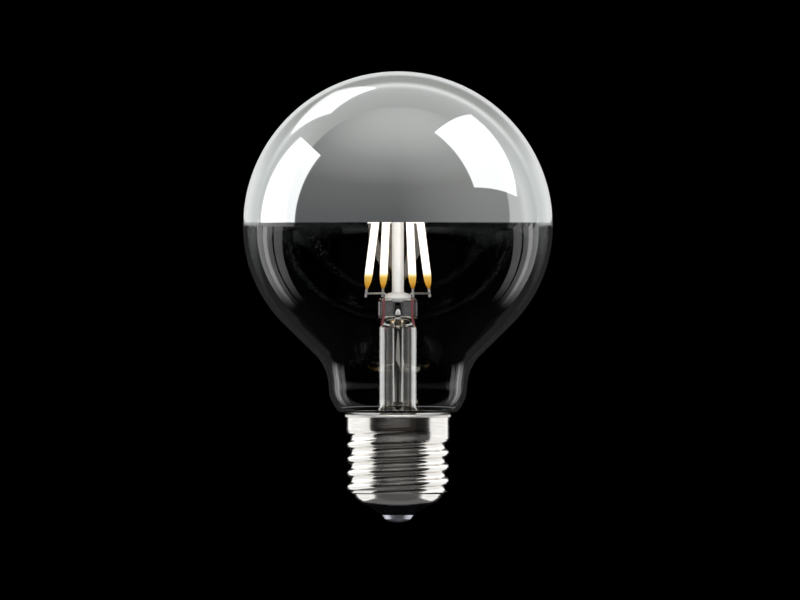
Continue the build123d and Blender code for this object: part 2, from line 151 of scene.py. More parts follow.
stem_radius = 4.8
stem_bore = 3.7
flare_height = 30.7
flare_bend = 3.4
flare_angle = 72
flare_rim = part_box("stem")[1].x / MM
press_height = 50.4
press_blend = 3.0
press_half = (5.15, 3.2)
press_edge = 1.0
press_top = 58.0
exhaust_radius = 1.53
exhaust_bore = 0.83
exhaust_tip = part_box("exhaust_tube")[0].z / MM
blow_hole = 53.3
hole_depth = 5
draw_line = (0.9 * MM, 30 * MM)

# Drawn lead glass: fire-polished, so it has no grain, only long faint draw lines that ripple what it bends
stem_glass = new_material("drawn lead glass")
place = add_node(stem_glass, "ShaderNodeTexCoord")
draw_lines = add_node(
    stem_glass,
    "ShaderNodeMapping",
    {"Vector": place.outputs["Object"], "Scale": (1 / draw_line[0], 1 / draw_line[0], 1 / draw_line[1])},
)
ripple = add_node(stem_glass, "ShaderNodeTexNoise", {"Vector": draw_lines.outputs[0], "Scale": 1.0, "Detail": 1.0})
relief = add_node(
    stem_glass, "ShaderNodeBump", {"Height": ripple.outputs["Fac"], "Strength": 0.15, "Distance": 0.02 * MM}
)
shine = add_node(
    stem_glass,
    "ShaderNodeBsdfPrincipled",
    {
        "Base Color": linear("#fbfaf8"),
        "Roughness": 0.0,
        "IOR": 1.54,
        "Transmission Weight": 1.0,
        "Normal": relief.outputs[0],
    },
)
add_node(stem_glass, "ShaderNodeOutputMaterial", {"Surface": shine.outputs[0]})

flare_centre = (stem_radius + flare_bend, flare_height)
bend_end = (
    flare_centre[0] - flare_bend * cos(radians(flare_angle)),
    flare_height - flare_bend * sin(radians(flare_angle)),
)
flare_run = (flare_rim - bend_end[0]) / sin(radians(flare_angle))
rim_low = (flare_rim, bend_end[1] - flare_run * cos(radians(flare_angle)))
stem_wall = stem_radius - stem_bore
inner_bend = arc(flare_centre, flare_bend + stem_wall, 180 + flare_angle, 180)
wall_across = (-stem_wall * cos(radians(flare_angle)), -stem_wall * sin(radians(flare_angle)))

# Rings close to the ends of each straight run keep its shading straight
run_ring = 0.3
outside = [rim_low, *arc(flare_centre, flare_bend, 180 + flare_angle, 180), (stem_radius, flare_height + run_ring)]
outside += [(stem_radius, press_height - run_ring), (stem_radius, press_height)]
blend_rings = 12
for step in range(1, blend_rings + 1):
    share = step / blend_rings
    ease = share * share * (3 - 2 * share)
    outside.append(
        (
            stem_radius + (press_half[0] - stem_radius) * ease,
            stem_radius + (press_half[1] - stem_radius) * ease,
            press_height + press_blend * share,
        )
    )
outside.append((*press_half, press_height + press_blend + run_ring))
outside.append((*press_half, press_top - press_edge - run_ring))
for inset, rise in arc((0, 0), press_edge, 0, 90, 10):
    outside.append(
        (press_half[0] - press_edge + inset, press_half[1] - press_edge + inset, press_top - press_edge + rise)
    )
outside.append((0, press_top))

# The bore ends in a soft roof that folds down round the exhaust tube, and the tube's lower end is drawn to a tip
roof = [(stem_bore, 0), (stem_bore, 0.3), (stem_bore - 0.25, 0.6), ((stem_bore + exhaust_radius) / 2, 0.45)]
roof += [(exhaust_radius + 0.15, 0.1), (exhaust_radius, -0.15), (exhaust_radius, -0.5)]
tip_rise = 2 * exhaust_radius
tip = [(exhaust_radius, tip_rise + run_ring), (exhaust_radius, tip_rise), (1.42, 1.7), (1.05, 0.6)]
tip += [(exhaust_bore / 2, 0.02), (0, 0)]
inside = [(rim_low[0] + wall_across[0], rim_low[1] + wall_across[1]), *inner_bend]
inside += [(stem_bore, flare_height + run_ring)]
inside += [(radius, press_height + rise) for radius, rise in roof]
inside += [(radius, exhaust_tip + rise) for radius, rise in tip]

glass_mount = turned("glass_mount", [*reversed(outside), *inside], stem_glass, segments=96)
bore_low = exhaust_tip + 3 * exhaust_radius
bore = [(0, bore_low - exhaust_bore), *arc((0, bore_low), exhaust_bore, -80, 0, 8)]
bore += [(exhaust_bore, bore_low + run_ring), (exhaust_bore, blow_hole - run_ring)]
bore += [*arc((0, blow_hole), exhaust_bore, 0, 80, 8), (0, blow_hole + exhaust_bore)]
carve(glass_mount, turned("bore", bore, stem_glass, segments=48))
hole_outline = [(0, 0), (exhaust_bore, 0), (exhaust_bore, hole_depth), (0, hole_depth)]
hole = turned("hole", hole_outline, stem_glass, segments=48)
hole.rotation_euler = (pi / 2, 0, 0)
hole.location = (0, 0, blow_hole * MM)
carve(glass_mount, hole)
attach(glass_mount, "root")
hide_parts("stem", "exhaust_tube")

# Support rod
# The rod is a glass cane, drawn milky ivory: the white is a painted glow, standing in for the filaments' light that
# a clear cane bends to the eye. Its foot is melted to a dome as it is fused upright into the top of the press, and
# its upper end is melted to a bead that holds the top wires, out of sight in the mirrored crown.
rod_radius = 1.54
rod_height = 59.4
dome_half = (3.5, 2.15)
dome_sink = 1.1
bead_radius = 2.0
bead_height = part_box("support_rod")[1].z / MM - bead_radius
cane_line = (0.5 * MM, 25 * MM)

# Cane glass painted milky ivory: the white is a painted glow for the filaments' light that a clear cane bends to the
# eye. The filaments also light through it, and draw lines run down its length
glow_white_cane = new_material("cane glass painted glow white")
place = add_node(glow_white_cane, "ShaderNodeTexCoord")
draw_lines = add_node(
    glow_white_cane,
    "ShaderNodeMapping",
    {"Vector": place.outputs["Object"], "Scale": (1 / cane_line[0], 1 / cane_line[0], 1 / cane_line[1])},
)
streaks = add_node(glow_white_cane, "ShaderNodeTexNoise", {"Vector": draw_lines.outputs[0], "Scale": 1.0, "Detail": 2.0})
tone = add_node(
    glow_white_cane,
    "ShaderNodeValToRGB",
    {"Fac": streaks.outputs["Fac"]},
    stops=[(0.35, linear("#f8f2ee")), (0.65, linear("#fffefc"))],
)
milk = add_node(
    glow_white_cane,
    "ShaderNodeBsdfPrincipled",
    {
        "Base Color": tone.outputs["Color"],
        "Roughness": 0.25,
        "IOR": 1.5,
        "Subsurface Weight": 1.0,
        "Subsurface Radius": (1.0, 0.95, 0.9),
        "Subsurface Scale": 1.2 * MM,
    },
)
add_node(glow_white_cane, "ShaderNodeOutputMaterial", {"Surface": milk.outputs[0]})

bead_join = -degrees(acos(rod_radius / bead_radius))
cane = [(0, press_top - dome_sink)]
for turn in range(-84, 85, 6):
    share, rise = cos(radians(turn)), sin(radians(turn))
    foot = rod_radius if turn > 0 else 0
    lift = rod_height - press_top if turn > 0 else dome_sink
    cane.append((foot + (dome_half[0] - foot) * share, foot + (dome_half[1] - foot) * share, press_top + lift * rise))
cane += [(rod_radius, rod_height + run_ring), *arc((0, bead_height), bead_radius, bead_join, 89, 20)]
cane += [(0, bead_height + bead_radius)]
support_rod = turned("cane", cane, glow_white_cane, segments=64)
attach(support_rod, "root")
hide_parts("support_rod")

# Lead wires
# Each lead is three wires butt-welded end to end. Nickel-plated iron carries the cross wire inside the lamp,
# copper-clad wire seals into the press, and tinned copper runs down the stem to the driver.


def drawn_wire(name, colour, dark, roughness):
    """Drawn metal wire: satin, with fine die lines along it that break its highlight."""
    wire = new_material(name)
    place = add_node(wire, "ShaderNodeTexCoord")
    streaks = add_node(
        wire,
        "ShaderNodeTexNoise",
        {"Vector": place.outputs["Object"], "Scale": 1 / (0.25 * MM), "Detail": 3.0},
    )
    tone = add_node(
        wire,
        "ShaderNodeValToRGB",
        {"Fac": streaks.outputs["Fac"]},
        stops=[(0.3, linear(dark)), (0.7, linear(colour))],
    )
    relief = add_node(
        wire, "ShaderNodeBump", {"Height": streaks.outputs["Fac"], "Strength": 0.3, "Distance": 0.01 * MM}
    )
    metal = add_node(
        wire,
        "ShaderNodeBsdfPrincipled",
        {
            "Base Color": tone.outputs["Color"],
            "Metallic": 1.0,
            "Roughness": roughness,
            "Normal": relief.outputs[0],
        },
    )
    add_node(wire, "ShaderNodeOutputMaterial", {"Surface": metal.outputs[0]})
    return wire


def dress(material, *names):
    """Give CAD nodes a finish."""
    for name in names:
        nodes[name].data.materials.clear()
        nodes[name].data.materials.append(material)


nickel_wire = drawn_wire("nickel-plated iron wire", "#ece8ea", "#cfcacc", 0.5)
copper_wire = drawn_wire("copper-clad seal wire", "#c47a80", "#a45a60", 0.5)
tinned_wire = drawn_wire("tinned copper wire", "#8c8a86", "#6f6c68", 0.4)
for side in ("left", "right"):
    dress(nickel_wire, f"inner_lead_{side}", f"cross_wire_{side}")
    dress(copper_wire, f"seal_wire_{side}")
    dress(tinned_wire, f"outer_lead_{side}")
dress(nickel_wire, "top_wire_front", "top_wire_back")

# Filaments
# Each filament is a thin strip of blue chips under silicone full of yellow phosphor. Where the chips stop,
# short of the spot-welded steel tabs, the silicone is unlit and shows its own amber.
amber_rise = 4.3

filament_foot = min(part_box(f"filament_{number}")[0].z for number in range(1, 5))
filament_head = max(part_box(f"filament_{number}")[1].z for number in range(1, 5))
filament_middle = (filament_foot + filament_head) / 2
filament_reach = (filament_head - filament_foot) / 2

tab_steel = drawn_wire("pressed steel tab", "#e6e2de", "#c6c2be", 0.5)

# Phosphor silicone: satin amber rubber at its unlit ends, glowing through yellow to a warm white over the chips
silicone = new_material("phosphor silicone")
place = add_node(silicone, "ShaderNodeTexCoord")
upright = add_node(silicone, "ShaderNodeSeparateXYZ", {"Vector": place.outputs["Object"]})
offset = add_node(silicone, "ShaderNodeMath", {0: upright.outputs["Z"], 1: filament_middle}, operation="SUBTRACT")
distance = add_node(silicone, "ShaderNodeMath", {0: offset.outputs[0]}, operation="ABSOLUTE")
chip_light = add_node(
    silicone,
    "ShaderNodeMapRange",
    {
        "Value": distance.outputs[0],
        "From Min": filament_reach,
        "From Max": filament_reach - amber_rise * MM,
        "To Min": 0.0,
        "To Max": 1.0,
    },
)
glow_colour = add_node(
    silicone,
    "ShaderNodeValToRGB",
    {"Fac": chip_light.outputs[0]},
    stops=[
        (0.0, linear("#8a5a1c")),
        (0.3, linear("#e0a232")),
        (0.7, linear("#ffd466")),
        (1.0, linear("#fffaf0")),
    ],
)
glow = add_node(
    silicone,
    "ShaderNodeMapRange",
    {"Value": chip_light.outputs[0], "From Min": 0.68, "From Max": 1.0, "To Min": 0.7, "To Max": 1.6},
)
skin = add_node(
    silicone,
    "ShaderNodeBsdfPrincipled",
    {
        "Base Color": linear("#d99a2c"),
        "Roughness": 0.35,
        "Emission Color": glow_colour.outputs["Color"],
        "Emission Strength": glow.outputs[0],
    },
)
add_node(silicone, "ShaderNodeOutputMaterial", {"Surface": skin.outputs[0]})
for number in range(1, 5):
    dress(silicone, f"filament_{number}")
    dress(tab_steel, f"filament_tab_lower_{number}", f"filament_tab_upper_{number}")

# Glass envelope
# The envelope is one piece of clear soda-lime glass, blown into a mould on a ribbon machine.
# Its neck is melted to the rim of the stem's flare, which closes the lamp.
globe_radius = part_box("glass_bulb")[1].x / MM
globe_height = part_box("glass_bulb")[1].z / MM - globe_radius
neck_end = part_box("glass_bulb")[0].z / MM
glass_wall = 0.9
lower_radius = 35.5
flank_angle = 45
waist_blend = 11.0
waist_radius = 17.9
waist_height = 35.2
shoulder_radius = 9.3
shoulder_angle = 44
shoulder_edge = 1.3
neck_blend = 0.9
neck_radius = 12.3

# Blown soda-lime glass: clear and fire-polished, with a slow waviness of the wall from the mould
clear_glass = new_material("blown soda-lime glass")
place = add_node(clear_glass, "ShaderNodeTexCoord")
wave = add_node(
    clear_glass,
    "ShaderNodeTexNoise",
    {"Vector": place.outputs["Object"], "Scale": 1 / (14 * MM), "Detail": 1.0},
)
relief = add_node(
    clear_glass, "ShaderNodeBump", {"Height": wave.outputs["Fac"], "Strength": 0.2, "Distance": 0.05 * MM}
)
shine = add_node(
    clear_glass,
    "ShaderNodeBsdfPrincipled",
    {
        "Base Color": linear("#fdfefe"),
        "Roughness": 0.0,
        "IOR": 1.52,
        "Transmission Weight": 1.0,
        "Normal": relief.outputs[0],
    },
)
add_node(clear_glass, "ShaderNodeOutputMaterial", {"Surface": shine.outputs[0]})


def envelope(inset):
    """Outline of the envelope from the crown to the end of the neck, drawn in by inset."""
    shoulder_centre = (waist_radius - shoulder_radius, waist_height)
    edge_turn = radians(shoulder_angle)
    edge = (
        shoulder_centre[0] + (shoulder_radius - shoulder_edge) * cos(edge_turn),
        waist_height - (shoulder_radius - shoulder_edge) * sin(edge_turn),
    )
    under = edge[1] - shoulder_edge
    blend_centre = (neck_radius + neck_blend, under - neck_blend)
    return [
        (0, globe_height + globe_radius - inset),
        *arc((0, globe_height), globe_radius - inset, 89, 0, 72),
        *arc((globe_radius - lower_radius, globe_height), lower_radius - inset, -1, -flank_angle, 36),
        *arc((waist_radius + waist_blend, waist_height), waist_blend + inset, 180 - flank_angle, 180, 20),
        *arc(shoulder_centre, shoulder_radius - inset, -2, -shoulder_angle, 16),
        *arc(edge, shoulder_edge - inset, -shoulder_angle, -90, 10),
        *arc(blend_centre, neck_blend + inset, 90, 180, 10),
        (neck_radius - inset, neck_end),
    ]


glass_bulb = turned("envelope", [*envelope(0), *reversed(envelope(glass_wall))], clear_glass, segments=256)
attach(glass_bulb, "root")
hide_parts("glass_bulb")

# Crown mirror
# The mirror is aluminium, evaporated onto the inside of the crown and masked off level just above the equator.
# It lies in optical contact with the glass, so it is set a hair into the inner face.
mirror_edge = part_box("mirror_coating")[0].z / MM
film_wall = 0.12
film_sink = 0.02

# Evaporated aluminium: a near-perfect mirror, as smooth as the glass under it
mirror_film = new_material("evaporated aluminium")
place = add_node(mirror_film, "ShaderNodeTexCoord")
wave = add_node(
    mirror_film,
    "ShaderNodeTexNoise",
    {"Vector": place.outputs["Object"], "Scale": 1 / (20 * MM), "Detail": 1.0},
)
relief = add_node(
    mirror_film, "ShaderNodeBump", {"Height": wave.outputs["Fac"], "Strength": 0.15, "Distance": 0.05 * MM}
)
metal = add_node(
    mirror_film,
    "ShaderNodeBsdfPrincipled",
    {
        "Base Color": linear("#f2f4f4"),
        "Metallic": 1.0,
        "Roughness": 0.02,
        "Normal": relief.outputs[0],
    },
)
add_node(mirror_film, "ShaderNodeOutputMaterial", {"Surface": metal.outputs[0]})

film_outer = globe_radius - glass_wall + film_sink
film_inner = film_outer - film_wall
edge_rise = mirror_edge - globe_height
film = [(0, globe_height + film_outer)]
film += arc((0, globe_height), film_outer, 89, degrees(asin(edge_rise / film_outer)), 90)
film += arc((0, globe_height), film_inner, degrees(asin(edge_rise / film_inner)), 89, 90)
film += [(0, globe_height + film_inner)]
mirror = turned("crown_mirror", film, mirror_film, segments=256)
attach(mirror, "root")
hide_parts("mirror_coating")

# Driver and cement
# The driver is a disc of glass-epoxy laminate with its parts soldered on, sprung into the cap under the neck.
# A ring of baked cement holds the neck in the cap. Its dark brown is partly the cement's own colour and partly
# painted shade, kept dark though the filaments light the inside of the cap.


def dull_solid(name, colour, dark, roughness, grit):
    """Matt moulded, printed or baked surface, mottled at the size of its grit in mm."""
    solid = new_material(name)
    place = add_node(solid, "ShaderNodeTexCoord")
    mottle = add_node(
        solid, "ShaderNodeTexNoise", {"Vector": place.outputs["Object"], "Scale": 1 / (grit * MM), "Detail": 4.0}
    )
    tone = add_node(
        solid,
        "ShaderNodeValToRGB",
        {"Fac": mottle.outputs["Fac"]},
        stops=[(0.3, linear(dark)), (0.7, linear(colour))],
    )
    surface = add_node(
        solid, "ShaderNodeBsdfPrincipled", {"Base Color": tone.outputs["Color"], "Roughness": roughness}
    )
    add_node(solid, "ShaderNodeOutputMaterial", {"Surface": surface.outputs[0]})
    return solid


# Cement colour: its own brown, darkened further as painted shade for the dim inside of the cap
dress(dull_solid("phenolic capping cement", "#4e3d30", "#3a2c22", 0.9, 0.5), "capping_cement")
dress(dull_solid("glass-epoxy laminate", "#d9d4b8", "#c4bd9c", 0.5, 0.4), "driver_board")
dress(
    dull_solid("moulded epoxy", "#2a2a2c", "#1b1b1d", 0.5, 0.2),
    "bridge_rectifier",
    "current_regulator",
    "chip_resistors",
)
dress(dull_solid("shrink sleeve", "#23242a", "#16171b", 0.35, 2.0), "smoothing_capacitor")
dress(dull_solid("resistor lacquer", "#8fa6b4", "#788e9c", 0.4, 0.3), "fusible_resistor")
dress(tinned_wire, "return_wire")

# Cap shell
# The shell is drawn from thin sheet and its round knuckle thread is rolled in. It is nickel-plated and bright.
# Its rim is curled over against the glass, and it is open at the foot for the insulator.
shell_wall = 0.35
rim_bead = 0.4
cap_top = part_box("cap_shell")[1].z / MM
band_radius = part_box("cap_shell")[1].x / MM - rim_bead
mouth_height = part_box("cap_shell")[0].z / MM
band_low = 24.6
groove_end = 3.95
groove_fade = 0.5
thread_crest = 13.15
thread_root = 12.1
thread_pitch = 3.629
crest_height = 7.2
foot_height = 7.4
foot_radius = 11.6
mouth_radius = 7.9
foot_taper = 34
bend_point = (10.96, 6.454)
run_in_slope = 2.3
lining_step = 2
curl_roughness = 0.55
roll_streak = (6 * MM, 0.35 * MM)

# Bright nickel plate on rolled sheet: a slightly warm mirror with faint streaks round it from the rolling,
# and satin on the curl, where the bending dulls the plate
nickel = new_material("bright nickel plate")
place = add_node(nickel, "ShaderNodeTexCoord")
around = add_node(
    nickel,
    "ShaderNodeMapping",
    {"Vector": place.outputs["Object"], "Scale": (1 / roll_streak[0], 1 / roll_streak[0], 1 / roll_streak[1])},
)
streaks = add_node(nickel, "ShaderNodeTexNoise", {"Vector": around.outputs[0], "Scale": 1.0, "Detail": 3.0})
sheen = add_node(
    nickel,
    "ShaderNodeMapRange",
    {"Value": streaks.outputs["Fac"], "From Min": 0.3, "From Max": 0.7, "To Min": 0.12, "To Max": 0.2},
)
upright = add_node(nickel, "ShaderNodeSeparateXYZ", {"Vector": place.outputs["Object"]})
curled = add_node(
    nickel,
    "ShaderNodeMapRange",
    {
        "Value": upright.outputs["Z"],
        "From Min": (cap_top - 2.2 * rim_bead) * MM,
        "From Max": (cap_top - 2 * rim_bead) * MM,
        "To Min": 0.0,
        "To Max": curl_roughness,
    },
)
satin = add_node(nickel, "ShaderNodeMath", {0: sheen.outputs[0], 1: curled.outputs[0]}, operation="MAXIMUM")
tone = add_node(
    nickel,
    "ShaderNodeValToRGB",
    {"Fac": streaks.outputs["Fac"]},
    stops=[(0.3, linear("#dad7d2")), (0.7, linear("#e6e4e0"))],
)
relief = add_node(
    nickel, "ShaderNodeBump", {"Height": streaks.outputs["Fac"], "Strength": 0.08, "Distance": 0.05 * MM}
)
metal = add_node(
    nickel,
    "ShaderNodeBsdfPrincipled",
    {
        "Base Color": tone.outputs["Color"],
        "Metallic": 1.0,
        "Roughness": satin.outputs[0],
        "Normal": relief.outputs[0],
    },
)
add_node(nickel, "ShaderNodeOutputMaterial", {"Surface": metal.outputs[0]})

knuckle_turn = 2 * (thread_crest - thread_root) / thread_pitch
knuckle_round = (thread_crest - thread_root) * (1 + knuckle_turn**2) / (4 * knuckle_turn**2)


def knuckle(height, turn):
    """Radius of the rolled thread at a height and a turn round the axis: a crest arc, then a root arc."""
    along = (height - crest_height - thread_pitch * turn + thread_pitch / 2) % thread_pitch - thread_pitch / 2
    along = abs(along)
    if along < thread_pitch / 4:
        return thread_crest - knuckle_round + sqrt(knuckle_round**2 - along**2)
    return thread_root + knuckle_round - sqrt(knuckle_round**2 - (thread_pitch / 2 - along) ** 2)


def shell_radius(radius, height, turn):
    """Radius of the shell's outer face, with the last groove run out into the band and the first into the foot."""
    if radius < band_radius or not foot_height < height <= band_low:
        return radius
    groove = turn + round((height - crest_height) / thread_pitch - 0.5 - turn)
    depth = min(max((groove_end - groove) / groove_fade, 0), 1)
    depth *= depth * (3 - 2 * depth)
    thread = band_radius + (knuckle(height, turn) - band_radius) * depth
    return min(thread, foot_radius + (height - foot_height) * run_in_slope)


inward = (-cos(radians(foot_taper)), sin(radians(foot_taper)))
chord = (mouth_radius - bend_point[0], mouth_height - bend_point[1])
mouth_round = (chord[0] ** 2 + chord[1] ** 2) / (2 * (chord[0] * inward[0] + chord[1] * inward[1]))
mouth_centre = (bend_point[0] + inward[0] * mouth_round, bend_point[1] + inward[1] * mouth_round)
mouth_turn = degrees(atan2(mouth_height - mouth_centre[1], mouth_radius - mouth_centre[0]))

row_step = 0.12
thread_rows = int((band_low - foot_height) / row_step)
shell_outline = [
    *arc((band_radius, cap_top - rim_bead), rim_bead, 180, -70, 24),
    (band_radius, cap_top - 2 * rim_bead),
    (band_radius, band_low + 0.1),
]
shell_outline += [(band_radius, band_low - row * row_step) for row in range(thread_rows)]
shell_outline += [(foot_radius, foot_height)]
shell_outline += arc(mouth_centre, mouth_round, -foot_taper, mouth_turn, 20)
shell_outline += arc(mouth_centre, mouth_round - shell_wall, mouth_turn, -foot_taper, 8)
shell_outline += [(foot_radius - shell_wall, foot_height + shell_wall)]
shell_outline += [(thread_root - shell_wall, foot_height + lining_step)]
shell_outline += [(thread_root - shell_wall, band_low - lining_step), (band_radius - shell_wall, band_low)]
cap_shell = turned("cap_shell_rolled", shell_outline, nickel, loop=True, segments=192, swell=shell_radius)
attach(cap_shell, "root")
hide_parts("cap_shell")

# Insulator and contact
# Black lamp glass is poured into the foot and pressed to a cone while it is soft, with the contact set in it.
# The contact is a brass button with a skin of solder from joining the driver's lead.

# Black lamp glass: pressed hot, so glossy with a faint orange peel
black_glass = new_material("black lamp glass")
place = add_node(black_glass, "ShaderNodeTexCoord")
peel = add_node(
    black_glass, "ShaderNodeTexNoise", {"Vector": place.outputs["Object"], "Scale": 1 / (1.2 * MM), "Detail": 2.0}
)
relief = add_node(
    black_glass, "ShaderNodeBump", {"Height": peel.outputs["Fac"], "Strength": 0.2, "Distance": 0.05 * MM}
)
tone = add_node(
    black_glass,
    "ShaderNodeValToRGB",
    {"Fac": peel.outputs["Fac"]},
    stops=[(0.3, linear("#0b0c10")), (0.7, linear("#14151b"))],
)
shine = add_node(
    black_glass,
    "ShaderNodeBsdfPrincipled",
    {"Base Color": tone.outputs["Color"], "Roughness": 0.12, "IOR": 1.5, "Normal": relief.outputs[0]},
)
add_node(black_glass, "ShaderNodeOutputMaterial", {"Surface": shine.outputs[0]})
dress(black_glass, "cap_insulator")

# Solder skin: grey tin alloy, dulled and a little lumpy where it ran
solder = new_material("solder on brass")
place = add_node(solder, "ShaderNodeTexCoord")
lumps = add_node(
    solder, "ShaderNodeTexNoise", {"Vector": place.outputs["Object"], "Scale": 1 / (0.9 * MM), "Detail": 3.0}
)
relief = add_node(
    solder, "ShaderNodeBump", {"Height": lumps.outputs["Fac"], "Strength": 0.4, "Distance": 0.1 * MM}
)
tone = add_node(
    solder,
    "ShaderNodeValToRGB",
    {"Fac": lumps.outputs["Fac"]},
    stops=[(0.3, linear("#a9acb8")), (0.7, linear("#cfd2dc"))],
)
metal = add_node(
    solder,
    "ShaderNodeBsdfPrincipled",
    {"Base Color": tone.outputs["Color"], "Metallic": 1.0, "Roughness": 0.35, "Normal": relief.outputs[0]},
)
add_node(solder, "ShaderNodeOutputMaterial", {"Surface": metal.outputs[0]})
dress(solder, "centre_contact")

# Studio
# The lamp is held up over a plain pale floor, against a dark backdrop, as glass is photographed.
# Soft boxes stand at its sides and above it, and the walls behind the camera are grey.
floor_height = -0.1
floor_radius = 0.9
floor_offset = (0.2, -0.2)

# Light Path counts that tell rays apart: under one_bounce they are not yet reflected, under one_surface not yet in
# glass, under one_wall through a single wall of the globe at most, and over two_walls in the glass of the mount
one_bounce = 0.5
one_surface = 0.5
one_wall = 2.5
two_walls = 4.5

# Pale backdrop paper: matt and even, with a faint fibre. Reflections leave it out, and the apron stands for it there
paper = new_material("pale paper floor")
place = add_node(paper, "ShaderNodeTexCoord")
fibre = add_node(
    paper, "ShaderNodeTexNoise", {"Vector": place.outputs["Object"], "Scale": 1 / (4 * MM), "Detail": 3.0}
)
tone = add_node(
    paper,
    "ShaderNodeValToRGB",
    {"Fac": fibre.outputs["Fac"]},
    stops=[(0.2, linear("#dcdcda")), (0.8, linear("#e2e2e0"))],
)
surface = add_node(paper, "ShaderNodeBsdfPrincipled", {"Base Color": tone.outputs["Color"], "Roughness": 0.8})
path = add_node(paper, "ShaderNodeLightPath")
mirrored = add_node(
    paper, "ShaderNodeMath", {0: path.outputs["Glossy Depth"], 1: one_bounce}, operation="GREATER_THAN"
)
unseen = add_node(paper, "ShaderNodeBsdfTransparent")
shown = add_node(
    paper, "ShaderNodeMixShader", {0: mirrored.outputs[0], 1: surface.outputs[0], 2: unseen.outputs[0]}
)
add_node(paper, "ShaderNodeOutputMaterial", {"Surface": shown.outputs[0]})
floor_mesh = bmesh.new()
bmesh.ops.create_circle(floor_mesh, cap_ends=True, segments=128, radius=floor_radius)
floor = in_scene("floor", floor_mesh, paper)
floor.location = (*floor_offset, floor_height)

globe_centre = Vector((0, 0, globe_height * MM))


def soft_box(name, place, facing, width, height, radiance, roll=0.0):
    """Evenly lit panel at a place in metres from the globe's centre, kept out of the picture itself.

    Its light is cut where it wanders on inside the globe, which would lay grey patches on the clear glass.
    """
    light = bpy.data.lights.new(name, "AREA")
    light.shape = "RECTANGLE"
    light.size = width
    light.size_y = height
    light.energy = radiance * pi * width * height
    panel = bpy.data.objects.new(name, light)
    panel.location = globe_centre + Vector(place)
    panel.rotation_euler = Vector(facing).to_track_quat("-Z", "Y").to_euler()
    panel.rotation_euler.rotate_axis("Z", radians(roll))
    panel.visible_camera = False
    bpy.context.scene.collection.objects.link(panel)
    light.use_nodes = True
    light.node_tree.nodes.clear()
    path = add_node(light, "ShaderNodeLightPath")
    direct = add_node(
        light, "ShaderNodeMath", {0: path.outputs["Glossy Depth"], 1: one_bounce}, operation="LESS_THAN"
    )
    one_pass = add_node(
        light, "ShaderNodeMath", {0: path.outputs["Transmission Depth"], 1: one_wall}, operation="LESS_THAN"
    )
    kept = add_node(light, "ShaderNodeMath", {0: direct.outputs[0], 1: one_pass.outputs[0]}, operation="MAXIMUM")
    diffuser = add_node(light, "ShaderNodeEmission", {"Strength": kept.outputs[0]})
    add_node(light, "ShaderNodeOutputLight", {"Surface": diffuser.outputs[0]})
    return panel


soft_box("left box", (-1.0, 0.285, 0.46), (1, 0, 0), 0.81, 0.92, 0.95)
soft_box("right box", (0.747, 0.047, 0.664), (-0.747, -0.047, -0.664), 0.78, 0.83, 0.85, -21)
soft_box("rear box", (-0.363, 0.656, 0.661), (0.363, -0.656, -0.661), 0.41, 0.39, 0.75)

# Strip lights low at the sides draw the paired streaks down the clear glass, by reflection alone
strip_drop = -0.46
strip_length = 1.0
strip_lean = 18
strip_fade = 0.6
clear_faces = bpy.data.collections.new("clear faces")
clear_faces.objects.link(glass_bulb)
for side in (-1, 1):
    for name, depth, width, radiance in (
        ("inner strip", 0.3, 0.17, 1.0),
        ("fill strip", 0.5, 0.13, 0.9),
        ("main strip", 0.63, 0.13, 2.6),
        ("outer strip", 0.82, 0.25, 1.2),
    ):
        strip = soft_box(
            name, (side, depth, strip_drop), (-side, 0, 0), width, strip_length, radiance, strip_lean * side
        )
        strip.visible_transmission = False
        strip.light_linking.receiver_collection = clear_faces
        spot = add_node(strip.data, "ShaderNodeNewGeometry")
        length = add_node(strip.data, "ShaderNodeSeparateXYZ", {"Vector": spot.outputs["Parametric"]})
        fade = add_node(
            strip.data,
            "ShaderNodeMapRange",
            {"Value": length.outputs["Y"], "From Min": 0.0, "From Max": strip_fade, "To Min": 0.0, "To Max": 1.0},
            interpolation_type="SMOOTHSTEP",
        )
        diffuser = strip.data.node_tree.nodes["Emission"]
        strip.data.node_tree.links.new(fade.outputs[0], diffuser.inputs["Strength"])

# White cards close to the cap, flagged off the glass, light the metal from both sides, below and the front of the rim
cap_metal = bpy.data.collections.new("cap metal")
cap_metal.objects.link(cap_shell)
cap_metal.objects.link(nodes["centre_contact"])
cards = [
    soft_box("left card", (-0.3, 0.19, -0.1), (1, 0, 0), 0.66, 0.7, 1.15),
    soft_box("right card", (0.3, 0.22, -0.1), (-1, 0, 0), 0.6, 0.7, 1.15),
    soft_box("rim card", (0, -0.16, 0.07), (0, 0.72, -0.69), 0.26, 0.2, 9.0),
    soft_box("low card", (0, -0.35, -0.6), (0, 0, 1), 1.0, 0.7, 0.1),
    soft_box("rear card", (0, 0.5, -0.6), (0, 0, 1), 1.0, 1.0, 0.15),
]
for cap_card in cards:
    cap_card.light_linking.receiver_collection = cap_metal
    cap_card.visible_transmission = False

# A front card fills in the mount's opaque pieces, which the mirror shades from the rest of the studio
mount_pieces = bpy.data.collections.new("mount pieces")
mount_pieces.objects.link(support_rod)
for name, node in nodes.items():
    if name.startswith(("inner_lead", "seal_wire", "cross_wire", "filament_tab_lower")):
        mount_pieces.objects.link(node)
front_card = soft_box("front card", (0, -0.8, -0.15), (0, 0.8, 0.13), 2.0, 1.2, 2.2)
front_card.visible_transmission = False
front_card.light_linking.receiver_collection = mount_pieces
front_card.light_linking.blocker_collection = mount_pieces

# Flags, seen in reflections alone: a dark visor under the globe keeps the grey room out of the front of the cap,
# a dark collar behind the cap is the backdrop in its edges, and a pale apron is the floor in the mirror
flag_step = 5
apron_height = 77.3

# Dark flag cloth: matt and a little warm, so that the front of the cap stays dark without going black
flag_cloth = new_material("dark flag cloth")
surface = add_node(flag_cloth, "ShaderNodeBsdfDiffuse", {"Color": linear("#3a302c")})
add_node(flag_cloth, "ShaderNodeOutputMaterial", {"Surface": surface.outputs[0]})

